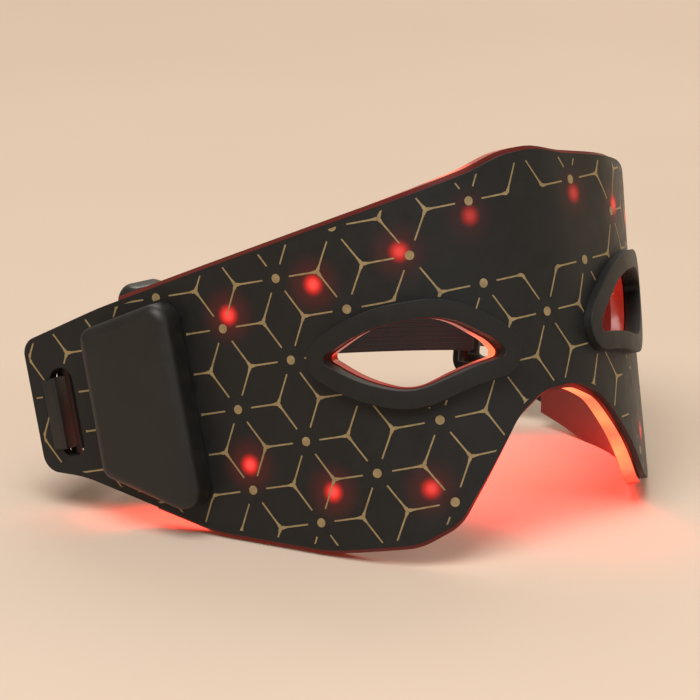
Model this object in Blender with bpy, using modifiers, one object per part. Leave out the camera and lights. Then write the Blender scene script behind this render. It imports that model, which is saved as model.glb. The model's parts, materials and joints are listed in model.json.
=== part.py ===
"""LED eye mask: a curved silicone shell with red light emitting diodes, a control box on the
right temple and an elastic head strap. It stands on its two cheek edges, leaning back.

Lengths are in millimetres until MM turns them into metres. The mask is drawn flat first:
s runs along the face from the wearer's right (-) to left (+), v runs up, and w stands out of
the outer surface. bend() then wraps that flat sheet around the face."""

import functools
import math

import bmesh
import bpy
import numpy as np
from mathutils import Matrix, Vector
from mathutils.geometry import interpolate_bezier

MM = 0.001
GAP = 0.3                    # clearance between neighbouring solids

# ---- driving dimensions: pose and face curve ----
LEAN = math.radians(16.1)    # the mask leans back on its cheek edges
ORIGIN_HEIGHT = 73.9         # from the table up to the brow point, where s = v = 0
ORIGIN_PLACE = (0.7, -53.8)  # brow point in plan, so that the object is centred on the frame
TURN_STATIONS = (0, 17, 34, 51, 68)         # distance from the middle
TURN_RATES = (0.43, 0.88, 1.80, 1.21, 0.0)  # degrees of turn per millimetre there
LEFT_STATIONS = (0, 17, 34, 51, 68, 95, 126)                # the same for the left side, which
LEFT_RATES = (0.43, 1.94, 0.48, 0.06, 1.2, 1.35, 0.1)       # has no box and is bent another way
FLARE_STATIONS = (12, 28)                   # the left side also turns later, the higher up it is:
FLARE_RATES = (0.0, 0.166)                  # so many millimetres later per millimetre of height
FLARE_V = -77.0                             # above this one
FACET_TURN = 5.0             # degrees of turn in one facet of a bent sheet

# ---- driving dimensions: layers of the shell, as w ----
COVER_BACK = -1.5            # black silicone cover, from w = 0 to here
TAB_BACK = -3.0              # the strap tabs are thicker
TAB_START = 119.0
CIRCUIT_FRONT = -1.8         # flexible circuit that carries the diodes
CIRCUIT_BACK = -2.2
CIRCUIT_END = 89.0
CIRCUIT_MARGIN = 2.5
LINER_FRONT = -1.8           # clear silicone liner, a shallow tray around the circuit
LINER_POCKET = -3.6
LINER_BACK = -5.2
LINER_LIP = 1.0              # the liner shows this far past the black edges
EYE_LIP = 0.3                # and this far inside the eye holes
LINER_END = 113.0
POCKET_MARGIN = 2.0

# ---- outline of one half of the sheet: corners as (s, v, corner radius) ----
TOP_CORNERS = ((5, 18.9, 30), (15.5, 16.3, 35), (87, 4.9, 200), (118, -0.2, 100),
               (141.8, -5.6, 4.2))
TAB_CORNERS = ((141.8, -37.3, 4.8), (131, -40.1, 30))
CHEEK_ENDS = (97, 67)        # the edge between these two distances lies along the table
CHEEK_RADIUS = 40
NOSE_CORNERS = ((44, -66.9, 16), (33.5, -63.6, 12), (13.5, -41.6, 14), (5, -37.3, 12))

# ---- left eye opening and its rim ----
EYE_CORNERS = ((59.4, -20.4, 1.5), (46, -14.6, 32), (29, -14.7, 20), (17.2, -23.2, 12),
               (14.8, -27.2, 1.5), (25, -28.3, 60), (38.8, -31.6, 16), (50, -27.3, 40))
RIM_WIDTH = 4.3
RIM_HEIGHT = 2.4
RIM_ROUNDING = 1.6
COLLAR = 1.5                 # the rim lines the hole in the cover with this much wall

# ---- strap slots in the tabs ----
SLOT_S = 132.7
SLOT_V = -24.0
SLOT_SIZE = (6.6, 22.0)

# ---- diodes of the left half, as (s, v); the right half mirrors them ----
DIODES = ((17.2, 6.3), (36, 1.3), (58, -2.8), (82.3, -6.8), (84, -42.7), (62.8, -51.7),
          (38.6, -54.4), (31.0, -54.0), (21.8, -43.9), (10.2, -34.6), (9.8, -24.2))
DIODE_SIZE = (3.5, 2.8)
DIODE_FRONT = -2.5
DIODE_BACK = -3.3

# ---- control box on the right temple, in its own frame: x forwards, y inwards, z up ----
BOX_S = -108.0
BOX_V = -24.0
BOX_CORNERS = ((-13.0, 19.3, 3.5), (12.6, 23.8, 4.5), (12.6, -30.0, 5.0), (-13.4, -16.0, 4.0))
BOX_FRONT = 8.0
BOX_BEVEL = 2.8
BOX_WALL = 1.4
SEAL_TOP = 0.9
PLATE_TOP = 1.5
SCREW_PLACES = ((-7.6, 13.6), (8.2, 17.0), (-8.4, -11.2), (7.7, -20.5))
SCREW_RADIUS = 0.9
SCREW_TIP = 5.5
SCREW_HEAD = (1.9, 1.0)      # radius and height
BOSS_RADIUS = 2.2
BOARD_CORNERS = ((-11.2, 8.5, 1), (-6.1, 8.5, 1), (-6.1, -9.2, 0.3), (10.7, -9.2, 1),
                 (10.7, -26.0, 4), (-11.2, -14.4, 3))
BOARD_BACK = 5.5
BOARD_FRONT = 6.3
BATTERY = ((-4.9, -8.3), (10.4, 14.0), (1.8, 5.9))   # low corner, high corner, span of w
RIBBON = (9.6, -13.0)        # where the flexible lead passes from the circuit to the board
RIBBON_SIZE = (0.4, 5.0)
BUTTON_Z = -3.0
BUTTON_W = 3.5
BUTTON_SIZE = (9.0, 2.6)     # length and width of the power button
BUTTON_PROUD = 0.8
SOCKET_PLACE = (-2.6, -21.8)  # middle of the charging socket on the box's lower wall
SOCKET_SIZE = (8.9, 3.2, 7.0)
SOCKET_W = 3.5

# ---- strap ----
STRAP_WIDTH = 20.0
STRAP_THICKNESS = 1.2
HOOK_X = 1.95                # the hook's leg and bar, from the middle of the slot to the rear
HOOK_HALF_WIDTH = 13.2
BAR_W = -10.6
BAR_RADIUS = 1.25
LOOP_RADIUS = 2.2            # centre line of the webbing around a hook's bar
SLIDER_PLACE = (-23.1, 62.7, 26.4)
SLIDER_SIZE = (14.8, 5.6, 31.0)
SLIDER_CORNER = 4.0
SLIDER_BAR = 3.4
PLY_OFFSET = 0.9             # each ply's centre line from the middle, inside the slider
STRAIGHT_RUN = 17.5          # straight webbing on each side of the slider's middle
SEWN_POINTS = 9              # points of the left stretch that the sewn end runs back along

SILICONE = ((0.018, 0.018, 0.017), 0.55, 0.0)
PLASTIC = ((0.015, 0.016, 0.018), 0.38, 0.0)
CLEAR = ((0.80, 0.12, 0.06), 0.25, 0.0)
EMITTER = ((1.0, 0.25, 0.08), 0.30, 0.0)
FLEX = ((0.75, 0.72, 0.66), 0.50, 0.0)
BOARD = ((0.03, 0.20, 0.09), 0.45, 0.0)
FOIL = ((0.62, 0.63, 0.65), 0.35, 0.6)
STEEL = ((0.60, 0.60, 0.60), 0.30, 1.0)
WEBBING = ((0.020, 0.018, 0.018), 0.85, 0.0)


# ---------------------------------------------------------------- face curve
def integral(values):
    """Running integral over DISTANCES, zero in the middle of the face."""
    total = np.concatenate([[0], np.cumsum((values[1:] + values[:-1]) / 2 * np.diff(DISTANCES))])
    return total - np.interp(0, DISTANCES, total)


def turn_at_flare_v():
    """Turn (radians) of the outer surface at each of DISTANCES, at the height FLARE_V."""
    right = np.interp(-DISTANCES, TURN_STATIONS, TURN_RATES)
    left = np.interp(DISTANCES, LEFT_STATIONS, LEFT_RATES)
    rate = np.where(DISTANCES < 0, right, left)
    return integral(np.radians(rate))


def flare(s):
    return np.interp(s, FLARE_STATIONS, FLARE_RATES)


DISTANCES = np.linspace(-160, 160, 1281)
TURN = turn_at_flare_v()


@functools.lru_cache(maxsize=None)
def face_curve(v):
    """The face's cross-section at a height: x, y and turn at each of DISTANCES."""
    turn = np.interp(DISTANCES - flare(DISTANCES) * (v - FLARE_V), DISTANCES, TURN)
    return integral(np.cos(turn)), integral(np.sin(turn)), turn


def bend(s, v, w):
    """Wrap one point of the flat sheet around the face."""
    x, y, turn = (float(np.interp(s, DISTANCES, values)) for values in face_curve(round(v, 2)))
    return Vector((x + math.sin(turn) * w, y - math.cos(turn) * w, v))


def table_v(s):
    """Height in the sheet at which its liner meets the table, at distance s."""
    v = 0
    for step in range(6):
        v = (bend(s, v, LINER_BACK).y * math.sin(LEAN) - ORIGIN_HEIGHT) / math.cos(LEAN)
    return v


def facet_cuts():
    """Lines at which a sheet is cut, so that each facet turns by FACET_TURN degrees: the
    distance s of each line at the height FLARE_V, and its slope."""
    turn = np.degrees(TURN)
    levels = np.arange(math.ceil(turn[0] / FACET_TURN), turn[-1] / FACET_TURN) * FACET_TURN
    places = np.interp(levels, turn, DISTANCES)
    return [(float(s), float(flare(s))) for s in places]


# ---------------------------------------------------------------- outlines
def rounded(corners, arc_step=14.0):
    """Closed polygon whose corners (x, y, radius) are arcs."""
    points = []
    for index, (x, y, radius) in enumerate(corners):
        here = Vector((x, y))
        before = Vector(corners[index - 1][:2]) - here
        after = Vector(corners[(index + 1) % len(corners)][:2]) - here
        half = before.angle(after) / 2
        reach = min(radius / math.tan(half), 0.49 * before.length, 0.49 * after.length)
        before.normalize()
        after.normalize()
        centre = here + (before + after).normalized() * reach / math.cos(half)
        first = here + before * reach - centre
        sweep = math.pi - 2 * half
        if before.cross(after) > 0:
            sweep = -sweep
        steps = max(2, math.ceil(math.degrees(abs(sweep)) / arc_step))
        for step in range(steps + 1):
            points.append(centre + Matrix.Rotation(sweep * step / steps, 2) @ first)
    return points


def grown(points, distance):
    """The closed polygon moved outwards by a distance, or inwards where it is negative."""
    count = len(points)
    area = sum(points[i - 1].cross(points[i]) for i in range(count))
    moved = []
    for i in range(count):
        ahead = (points[(i + 1) % count] - points[i]).normalized()
        along = (points[i] - points[i - 1]).normalized() + ahead
        along.normalize()
        stretch = distance / max(0.5, along.dot(ahead))
        moved.append(points[i] + Vector((along.y, -along.x)) * math.copysign(stretch, area * distance))
    return moved


def mirrored(points):
    return [Vector((-point.x, point.y)) for point in reversed(points)]


def clipped(points, end):
    """The part of a closed polygon between -end and end."""
    for side in (1, -1):
        kept = []
        for i, point in enumerate(points):
            last = points[i - 1]
            if (last.x * side - end) * (point.x * side - end) < 0:
                kept.append(last.lerp(point, (end * side - last.x) / (point.x - last.x)))
            if point.x * side <= end:
                kept.append(point)
        points = kept
    return points


def slot_outline(side, width, length, margin=0.0):
    half_s = width / 2 + margin
    half_v = length / 2 + margin
    corners = [(side * SLOT_S + i * half_s, SLOT_V + j * half_v, half_s - 0.1)
               for i, j in ((-1, -1), (1, -1), (1, 1), (-1, 1))]
    return rounded(corners, 22)


def sheet_outline():
    """Outline of the black cover; its cheeks end one lip's width above the table."""
    halves = []
    for side in (1, -1):
        cheeks = [(s, table_v(s * side) + LINER_LIP, CHEEK_RADIUS) for s in CHEEK_ENDS]
        half = list(TOP_CORNERS) + list(TAB_CORNERS) + cheeks + list(NOSE_CORNERS)
        halves.append([(s * side, v, radius) for s, v, radius in half])
    return rounded(halves[0] + halves[1][::-1])


def disc(x, y, radius, count=16):
    turns = [math.tau * i / count for i in range(count)]
    return [Vector((x + radius * math.cos(turn), y + radius * math.sin(turn))) for turn in turns]


def rectangle(low, high):
    return [Vector(p) for p in (low, (high[0], low[1]), high, (low[0], high[1]))]


# ---------------------------------------------------------------- solids
def collection(name):
    made = bpy.data.collections.new(name)
    bpy.context.scene.collection.children.link(made)
    return made


def clear_scene():
    for old in list(bpy.data.objects):
        bpy.data.objects.remove(old, do_unlink=True)
    for old in list(bpy.data.collections):
        bpy.data.collections.remove(old)


clear_scene()
MODEL = collection("led_face_mask")
CUTTERS = collection("cutters")


def material(name, look):
    """One Principled material: base colour, roughness and metallic value."""
    made = bpy.data.materials.new(name)
    made.use_nodes = True
    shader = made.node_tree.nodes["Principled BSDF"]
    colour, roughness, metallic = look
    shader.inputs["Base Color"].default_value = (*colour, 1)
    shader.inputs["Roughness"].default_value = roughness
    shader.inputs["Metallic"].default_value = metallic
    made.diffuse_color = (*colour, 1)
    return made


def plate(loops, front, back):
    """Flat solid between two values of w. Its outline is the first loop, the others are holes."""
    curve = bpy.data.curves.new("outline", "CURVE")
    curve.dimensions = "2D"
    curve.fill_mode = "BOTH"
    curve.extrude = (front - back) / 2
    for loop in loops:
        spline = curve.splines.new("POLY")
        spline.points.add(len(loop) - 1)
        for point, place in zip(spline.points, loop):
            point.co = (place.x, place.y, 0, 1)
        spline.use_cyclic_u = True
    guide = bpy.data.objects.new("outline", curve)
    CUTTERS.objects.link(guide)
    bpy.context.view_layer.update()
    mesh = bpy.data.meshes.new_from_object(guide.evaluated_get(bpy.context.evaluated_depsgraph_get()))
    bpy.data.objects.remove(guide)
    bpy.data.curves.remove(curve)
    solid = bmesh.new()
    solid.from_mesh(mesh)
    bmesh.ops.remove_doubles(solid, verts=solid.verts, dist=0.001)
    bmesh.ops.dissolve_limit(solid, angle_limit=0.001, verts=solid.verts, edges=solid.edges)
    stand = Matrix.Translation((0, -(front + back) / 2, 0)) @ Matrix.Rotation(math.pi / 2, 4, "X")
    bmesh.ops.transform(solid, matrix=stand, verts=solid.verts)
    bmesh.ops.recalc_face_normals(solid, faces=solid.faces)
    if solid.calc_volume(signed=True) < 0:
        bmesh.ops.reverse_faces(solid, faces=solid.faces)
    solid.to_mesh(mesh)
    solid.free()
    return mesh


def block(low, high):
    """Box between two corners."""
    solid = bmesh.new()
    bmesh.ops.create_cube(solid, size=1)
    size = Vector(high) - Vector(low)
    bmesh.ops.scale(solid, vec=size, verts=solid.verts)
    bmesh.ops.translate(solid, vec=(Vector(high) + Vector(low)) / 2, verts=solid.verts)
    mesh = bpy.data.meshes.new("block")
    solid.to_mesh(mesh)
    solid.free()
    return mesh


def rod(start, end, radius, count=16):
    """Cylinder between two points."""
    start, end = Vector(start), Vector(end)
    axis = end - start
    solid = bmesh.new()
    turn = axis.to_track_quat("Z", "Y").to_matrix().to_4x4()
    bmesh.ops.create_cone(solid, cap_ends=True, segments=count, radius1=radius, radius2=radius,
                          depth=axis.length, matrix=Matrix.Translation((start + end) / 2) @ turn)
    mesh = bpy.data.meshes.new("rod")
    solid.to_mesh(mesh)
    solid.free()
    return mesh


def combined(mesh, others, operation):
    """The mesh after Boolean steps with each of the others."""
    for other in others:
        body = bpy.data.objects.new("body", mesh)
        cutter = bpy.data.objects.new("cutter", other)
        cutter.hide_render = True
        cutter.display_type = "WIRE"
        CUTTERS.objects.link(body)
        CUTTERS.objects.link(cutter)
        step = body.modifiers.new("step", "BOOLEAN")
        step.operation = operation
        step.object = cutter
        bpy.context.view_layer.update()
        mesh = bpy.data.meshes.new_from_object(body.evaluated_get(bpy.context.evaluated_depsgraph_get()))
        bpy.data.objects.remove(body)
        bpy.data.objects.remove(cutter)
    return mesh


def cut(mesh, *others):
    return combined(mesh, others, "DIFFERENCE")


def joined(mesh, *others):
    return combined(mesh, others, "UNION")


def rounded_front(mesh, front, width, segments=3):
    """The plate with its front edges bevelled."""
    solid = bmesh.new()
    solid.from_mesh(mesh)
    edges = [edge for edge in solid.edges if all(abs(v.co.y + front) < 0.01 for v in edge.verts)
             and edge.calc_face_angle(0) > 1]
    bmesh.ops.bevel(solid, geom=edges, offset=width, segments=segments, profile=0.5, affect="EDGES",
                    clamp_overlap=True)
    bmesh.ops.remove_doubles(solid, verts=solid.verts, dist=0.01)
    solid.to_mesh(mesh)
    solid.free()
    return mesh


def wrapped(mesh):
    """The flat solid, cut into facets and bent around the face."""
    solid = bmesh.new()
    solid.from_mesh(mesh)
    for s, slope in facet_cuts():
        bmesh.ops.bisect_plane(solid, geom=solid.verts[:] + solid.edges[:] + solid.faces[:], dist=0.01,
                               plane_co=(s, 0, FLARE_V), plane_no=(1, 0, -slope))
    bmesh.ops.triangulate(solid, faces=solid.faces)
    for vertex in solid.verts:
        vertex.co = bend(vertex.co.x, vertex.co.z, -vertex.co.y)
    solid.to_mesh(mesh)
    solid.free()
    return mesh


def add(name, mesh, look, parent, place=Matrix()):
    """Put a finished solid in the model, turned into metres."""
    mesh.name = name
    mesh.transform(Matrix.Scale(MM, 4))
    mesh.materials.clear()
    mesh.materials.append(material(name, look))
    mesh.shade_smooth()
    mesh.set_sharp_from_angle(angle=math.radians(35))
    made = bpy.data.objects.new(name, mesh)
    MODEL.objects.link(made)
    made.parent = parent
    made.matrix_local = in_metres(place)
    return made


def in_metres(place):
    turned = place.copy()
    turned.translation = turned.translation * MM
    return turned


def empty(name, parent, place):
    made = bpy.data.objects.new(name, None)
    MODEL.objects.link(made)
    made.parent = parent
    made.matrix_local = in_metres(place)
    return made


def place_on_sheet(s, v, w=0.0):
    """Frame on the bent sheet: x along it, y inwards, z up the sheet."""
    along = bend(s + 1, v, w) - bend(s - 1, v, w)
    up = (bend(s, v + 1, w) - bend(s, v - 1, w)).normalized()
    inwards = up.cross(along).normalized()
    axes = Matrix((inwards.cross(up), inwards, up)).transposed()
    return Matrix.Translation(bend(s, v, w)) @ axes.to_4x4()


# ---------------------------------------------------------------- sub-parts of the shell
def box_holes():
    """Clearance holes for the box's screws and its flexible lead, in the box's frame."""
    lead = rectangle((RIBBON[0] - 0.8, RIBBON[1] - 3.1), (RIBBON[0] + 0.8, RIBBON[1] + 3.1))
    return [disc(x, z, SCREW_RADIUS + GAP, 12) for x, z in SCREW_PLACES] + [lead]


def make_cover(outline, eyes, parent):
    """Black silicone skin with the eye openings, the strap tabs and their slots."""
    holes = [grown(eye, COLLAR + GAP) for eye in eyes]
    holes += [slot_outline(side, *SLOT_SIZE) for side in (-1, 1)]
    holes += [[point + Vector((BOX_S, BOX_V)) for point in hole] for hole in box_holes()]
    sheet = plate([outline] + holes, 0, TAB_BACK)
    recess = block((-TAB_START, -COVER_BACK, -90), (TAB_START, 1 - TAB_BACK, 40))
    add("outer_cover", wrapped(cut(sheet, recess)), SILICONE, parent)


def make_rims(eyes, parent):
    """Raised soft rims that line the eye openings."""
    for side, eye in zip(("right", "left"), eyes):
        rim = plate([grown(eye, RIM_WIDTH), eye], RIM_HEIGHT, COVER_BACK)
        flange = plate([grown(eye, RIM_WIDTH + 1), grown(eye, COLLAR)], GAP, COVER_BACK - 1)
        rim = rounded_front(cut(rim, flange), RIM_HEIGHT, RIM_ROUNDING)
        add(f"eye_rim_{side}", wrapped(rim), SILICONE, parent)


def make_circuit(outline, eyes, parent):
    """Flexible circuit with a tongue that reaches under the control box."""
    border = clipped(grown(outline, -CIRCUIT_MARGIN), CIRCUIT_END)
    tongue_s, tongue_v = BOX_S + RIBBON[0], BOX_V + RIBBON[1]
    tongue = [Vector(p) for p in ((-CIRCUIT_END, tongue_v + 3), (tongue_s - 2, tongue_v + 3),
                                  (tongue_s - 2, tongue_v - 3), (-CIRCUIT_END, tongue_v - 3))]
    edge = [i for i, point in enumerate(border) if abs(point.x + CIRCUIT_END) < 0.01]
    if border[edge[0]].y < border[edge[1]].y:
        tongue.reverse()
    border[edge[1]:edge[1]] = tongue
    holes = [grown(eye, POCKET_MARGIN + 1) for eye in eyes]
    add("led_flex_circuit", wrapped(plate([border] + holes, CIRCUIT_FRONT, CIRCUIT_BACK)), FLEX, parent)


def make_liner(outline, eyes, parent):
    """Clear liner: a tray whose walls surround the circuit and the openings."""
    border = clipped(grown(outline, LINER_LIP), LINER_END)
    tray = plate([border] + [grown(eye, -EYE_LIP) for eye in eyes], LINER_FRONT, LINER_BACK)
    pocket = clipped(grown(outline, -POCKET_MARGIN), LINER_END - POCKET_MARGIN)
    islands = [grown(eye, POCKET_MARGIN + 0.4) for eye in eyes]
    tray = cut(tray, plate([pocket] + islands, LINER_FRONT + 1, LINER_POCKET))
    add("inner_liner", wrapped(tray), CLEAR, parent)


def make_diodes(parent):
    """Surface-mounted diodes behind the circuit."""
    depth = DIODE_FRONT - DIODE_BACK
    for side, name in ((-1, "right"), (1, "left")):
        for number, (s, v) in enumerate(DIODES, 1):
            half = Vector((DIODE_SIZE[0] / 2, depth / 2, DIODE_SIZE[1] / 2))
            body = block(-half, half)
            place = place_on_sheet(s * side, v, DIODE_FRONT - depth / 2)
            add(f"led_{name}_{number:02d}", body, EMITTER, parent, place)


# ---------------------------------------------------------------- control box
def make_box(parent):
    """Control box: seal, plate, case, screws, board, battery, socket, switch and button."""
    frame = empty("control_box_frame", parent, place_on_sheet(BOX_S, BOX_V))
    outline = rounded(BOX_CORNERS)
    inside = grown(outline, -BOX_WALL)
    add("box_seal", plate([grown(outline, -0.2), inside], SEAL_TOP, GAP), SILICONE, frame)
    base = plate([grown(inside, -GAP)] + box_holes(), PLATE_TOP, GAP)
    add("box_base_plate", base, PLASTIC, frame)
    make_case(outline, inside, frame)
    make_screws(frame)
    make_electronics(frame)
    make_button(frame)


def make_case(outline, inside, frame):
    """Moulded case with screw bosses, the socket's window and the button's hole."""
    case = rounded_front(plate([outline], BOX_FRONT, SEAL_TOP + GAP), BOX_FRONT, BOX_BEVEL, 4)
    case = cut(case, plate([inside], BOX_FRONT - BOX_WALL, 0))
    for x, z in SCREW_PLACES:
        boss = rod((x, -PLATE_TOP - GAP, z), (x, 0.5 - BOX_FRONT, z), BOSS_RADIUS)
        bore = rod((x, 0, z), (x, -SCREW_TIP - 2 * GAP, z), SCREW_RADIUS + GAP)
        case = cut(joined(case, boss), bore)
    window = socket_body(GAP, (-3.0, 4.0))
    hole = button_prism(BUTTON_SIZE[0] + 2 * GAP, BUTTON_SIZE[1] + 2 * GAP, -15.5, -10.0)
    add("box_case", cut(case, window, hole), PLASTIC, frame)


def make_screws(frame):
    head_radius, head_height = SCREW_HEAD
    under = -(COVER_BACK - GAP)
    for number, (x, z) in enumerate(SCREW_PLACES, 1):
        shank = rod((x, under + 0.2, z), (x, -SCREW_TIP, z), SCREW_RADIUS)
        head = rod((x, under, z), (x, under + head_height, z), head_radius)
        socket = rod((x, under + 0.5, z), (x, under + 2, z), head_radius / 2, 6)
        add(f"case_screw_{number}", cut(joined(head, shank), socket), STEEL, frame)


def lower_wall():
    """Directions along the box's lower wall and into the box."""
    start, end = (Vector(BOX_CORNERS[i][:2]) for i in (3, 2))
    along = (end - start).normalized()
    return along, Vector((-along.y, along.x))


def socket_body(margin, depths):
    """Rounded prism of the charging socket, between two depths behind the lower wall."""
    along, inwards = lower_wall()
    half = SOCKET_SIZE[0] / 2 + margin
    high = SOCKET_SIZE[1] / 2 + margin
    corners = [(i * half, j * high, high - 0.15) for i, j in ((-1, -1), (1, -1), (1, 1), (-1, 1))]
    prism = plate([rounded(corners, 25)], depths[1], depths[0])
    axes = Matrix(((-along.x, -inwards.x, 0), (0, 0, -1), (-along.y, -inwards.y, 0))).to_4x4()
    prism.transform(Matrix.Translation((SOCKET_PLACE[0], -SOCKET_W, SOCKET_PLACE[1])) @ axes)
    return prism


def make_electronics(frame):
    """Circuit board, battery, charging socket, switch and the lead from the diodes."""
    holes = [disc(x, z, BOSS_RADIUS + GAP, 14) for x, z in SCREW_PLACES if z < 0]
    add("control_board", plate([rounded(BOARD_CORNERS)] + holes, BOARD_FRONT, BOARD_BACK), BOARD, frame)
    low, high, span = BATTERY
    cell = block((low[0], -span[1], low[1]), (high[0], -span[0], high[1]))
    add("battery", cell, FOIL, frame)
    shell = socket_body(0, (0.4, 0.4 + SOCKET_SIZE[2]))
    mouth = socket_body(-0.3, (-1.0, 6.4))
    tongue = socket_body(-1.2, (1.4, 7.0))
    add("usb_c_socket", joined(cut(shell, mouth), tongue), STEEL, frame)
    x, z = RIBBON
    half = RIBBON_SIZE[1] / 2
    lead = block((x - RIBBON_SIZE[0] / 2, GAP - BOARD_BACK, z - half),
                 (x + RIBBON_SIZE[0] / 2, -COVER_BACK, z + half))
    add("flex_lead", lead, FLEX, frame)
    switch = block((-9.6, -5.2, BUTTON_Z - 2.2), (-6.6, -2.0, BUTTON_Z + 2.2))
    plunger = rod((-10.1, -BUTTON_W, BUTTON_Z), (-9.0, -BUTTON_W, BUTTON_Z), 0.9, 12)
    add("power_switch", joined(switch, plunger), PLASTIC, frame)


def button_prism(length, width, x_low, x_high):
    """Pill-shaped prism along the box's x axis."""
    corners = [(i * length / 2, j * width / 2, width / 2 - 0.1)
               for i, j in ((-1, -1), (1, -1), (1, 1), (-1, 1))]
    prism = plate([rounded(corners, 25)], x_high, x_low)
    axes = Matrix(((0, -1, 0), (0, 0, -1), (1, 0, 0))).to_4x4()
    prism.transform(Matrix.Translation((0, -BUTTON_W, BUTTON_Z)) @ axes)
    return prism


def make_button(frame):
    """Power button in the rear wall, held from inside by the two ends of its flange."""
    wall = BOX_CORNERS[0][0] - 0.25
    pivot = empty("power_button_axis", frame, Matrix.Translation((wall, -BUTTON_W, BUTTON_Z)))
    back = Matrix.Translation((-wall, BUTTON_W, -BUTTON_Z))
    cap = button_prism(*BUTTON_SIZE, wall - BUTTON_PROUD, -11.2)
    flange = button_prism(BUTTON_SIZE[0] + 2, BUTTON_SIZE[1] + 0.4, -11.5, -10.9)
    add("power_button", joined(cap, flange), SILICONE, pivot, back)


# ---------------------------------------------------------------- strap
def make_hook(side, name, parent):
    """Hook through a tab's slot, with a round bar for the webbing behind the tab."""
    frame = empty(f"strap_hook_{name}_frame", parent, place_on_sheet(side * SLOT_S, SLOT_V))
    leg_half = SLOT_SIZE[1] / 2 - 2.2
    back = -TAB_BACK + GAP

    def bar(low, high):
        ends = sorted((low[0] * side, high[0] * side))
        return block((ends[0], low[1], low[2]), (ends[1], high[1], high[2]))

    hook = bar((0.9, -1.3, -leg_half), (2.7, back + 1, leg_half))
    lip = bar((1.1, -1.3, 0.2 - leg_half), (4.7, -GAP, leg_half - 0.2))
    crown = bar((0.7, back, -HOOK_HALF_WIDTH), (3.2, -BAR_W, HOOK_HALF_WIDTH))
    window_half = STRAP_WIDTH / 2 + 0.6
    window = bar((-1, 5.1, -window_half), (4, 14, window_half))
    pin_half = HOOK_HALF_WIDTH - 0.2
    pin = rod((side * HOOK_X, -BAR_W, -pin_half), (side * HOOK_X, -BAR_W, pin_half), BAR_RADIUS)
    add(f"strap_hook_{name}", joined(cut(joined(hook, lip, crown), window), pin), PLASTIC, frame)
    bpy.context.view_layer.update()
    return frame.matrix_world


def make_slider(parent):
    """Slide adjuster: two bars in front of the webbing and one behind it."""
    width, depth, height = SLIDER_SIZE
    corners = [(i * width / 2, j * height / 2, SLIDER_CORNER)
               for i, j in ((-1, -1), (1, -1), (1, 1), (-1, 1))]
    slider = rounded_front(plate([rounded(corners)], depth / 2, -depth / 2), depth / 2, 0.9, 2)
    channel = PLY_OFFSET + STRAP_THICKNESS / 2 + GAP
    high = STRAP_WIDTH / 2 + 1.2
    gap_edge = width / 2 - SLIDER_BAR
    slider = cut(slider, block((-width, -channel, -high), (width, channel, high)),
                 block((-gap_edge, -depth, -high), (gap_edge, 0, high)),
                 block((-gap_edge, 0, -high), (-SLIDER_BAR / 2, depth, high)),
                 block((SLIDER_BAR / 2, 0, -high), (gap_edge, depth, high)))
    axis = empty("strap_slider_axis", parent, Matrix.Translation(SLIDER_PLACE))
    add("strap_slider", slider, PLASTIC, axis)


def stretch(points, tilts, spreads):
    """Middle line as (point, sideways, across, spread); both plies are read from it."""
    places = []
    last = len(points) - 1
    for i, point in enumerate(points):
        ahead = points[min(i + 1, last)] - points[max(i - 1, 0)]
        part = i / last
        across = tilts[0].lerp(tilts[1], part).normalized()
        sideways = across.cross(ahead).normalized()
        places.append((point, sideways, across, spreads[0] + (spreads[1] - spreads[0]) * part))
    return places


def ply(places, side):
    """One of the two plies beside the middle line: 1 behind it, -1 in front."""
    return [(point + sideways * spread * side, across) for point, sideways, across, spread in places]


def loop(bar, sideways, onwards, across):
    """Half turn of webbing around a hook's bar."""
    turns = [math.pi * step / 8 for step in range(1, 8)]
    return [(bar + (sideways * math.cos(turn) + onwards * math.sin(turn)) * LOOP_RADIUS, across)
            for turn in turns]


def strap_route(hooks):
    """Route of the webbing, from its free tail to its sewn end, as (point, across)."""
    bars, inwards, across = [], [], []
    for side, hook in zip((-1, 1), hooks):
        bars.append(hook @ (Vector((side * HOOK_X, -BAR_W, 0)) * MM) / MM)
        inwards.append(hook.to_3x3() @ Vector((0, 1, 0)))
        across.append(hook.to_3x3() @ Vector((0, 0, 1)))
    upright = Vector((0, 0, 1))
    run = Vector((STRAIGHT_RUN, 0, 0))
    start, end = Vector(SLIDER_PLACE) - run, Vector(SLIDER_PLACE) + run
    from_right = interpolate_bezier(bars[0], bars[0] + inwards[0] * 13, start - run * 0.6, start, 16)
    to_left = interpolate_bezier(end, end + run * 1.4, bars[1] + inwards[1] * 12, bars[1], 24)
    right = stretch(from_right, (across[0], upright), (LOOP_RADIUS, PLY_OFFSET))
    middle = stretch([start, end], (upright, upright), (PLY_OFFSET, PLY_OFFSET))
    left = stretch(to_left, (upright, across[1]), (PLY_OFFSET, LOOP_RADIUS))
    route = ply(middle[::-1], 1) + ply(right[-2::-1], 1)
    route += loop(bars[0], right[0][1], -inwards[0], across[0])
    route += ply(right, -1) + ply(left, -1)
    route += loop(bars[1], -left[-1][1], -inwards[1], across[1])
    return route + ply(left[:-SEWN_POINTS:-1], 1)


def make_strap(hooks):
    """Webbing: a sheet along its route, thickened."""
    solid = bmesh.new()
    rows = []
    for point, across in strap_route(hooks):
        rows.append([solid.verts.new(point + across * (STRAP_WIDTH / 2 * side)) for side in (-1, 1)])
    for first, second in zip(rows, rows[1:]):
        solid.faces.new((first[0], second[0], second[1], first[1]))
    mesh = bpy.data.meshes.new("webbing")
    solid.to_mesh(mesh)
    solid.free()
    strap = add("head_strap", mesh, WEBBING, None)
    thicken = strap.modifiers.new("thickness", "SOLIDIFY")
    thicken.thickness = STRAP_THICKNESS * MM
    thicken.offset = 0
    thicken.use_even_offset = True


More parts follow.
